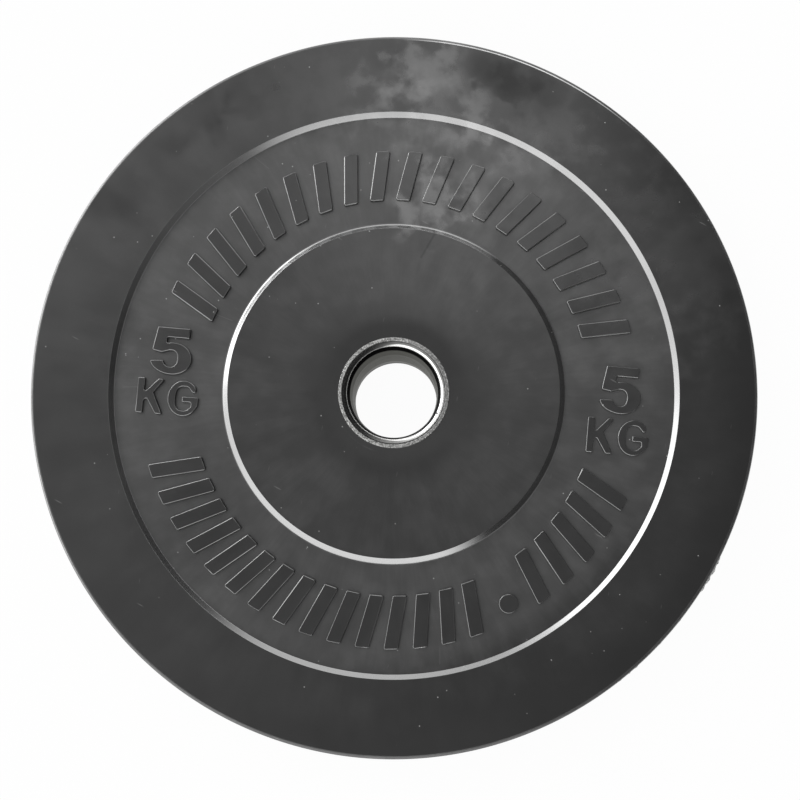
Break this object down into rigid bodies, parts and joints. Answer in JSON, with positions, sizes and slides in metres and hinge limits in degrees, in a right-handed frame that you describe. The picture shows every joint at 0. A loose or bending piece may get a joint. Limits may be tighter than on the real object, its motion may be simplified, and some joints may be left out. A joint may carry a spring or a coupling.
{
  "type": "bumper plate",
  "caption": "Round black rubber weight plate with a raised rim, a recessed band, a raised hub disc and a steel-lined bore for a bar sleeve.",
  "frame": {"origin": "centre of the bore in the plane of the back face, which the plate lies on", "axes": "+Z along the bore axis, out of the pictured front face; +X to the right and +Y up in the picture"},
  "size_m": [0.45, 0.45, 0.028],
  "materials": {
    "rubber": "satin black moulded rubber",
    "plated_steel": "dull zinc-plated steel",
    "stainless": "turned and polished stainless steel"
  },
  "bodies": {
    "root": {"rubber_body": "rubber", "anchor_ring": "plated_steel", "hub_sleeve": "stainless"}
  },
  "joints": []
}
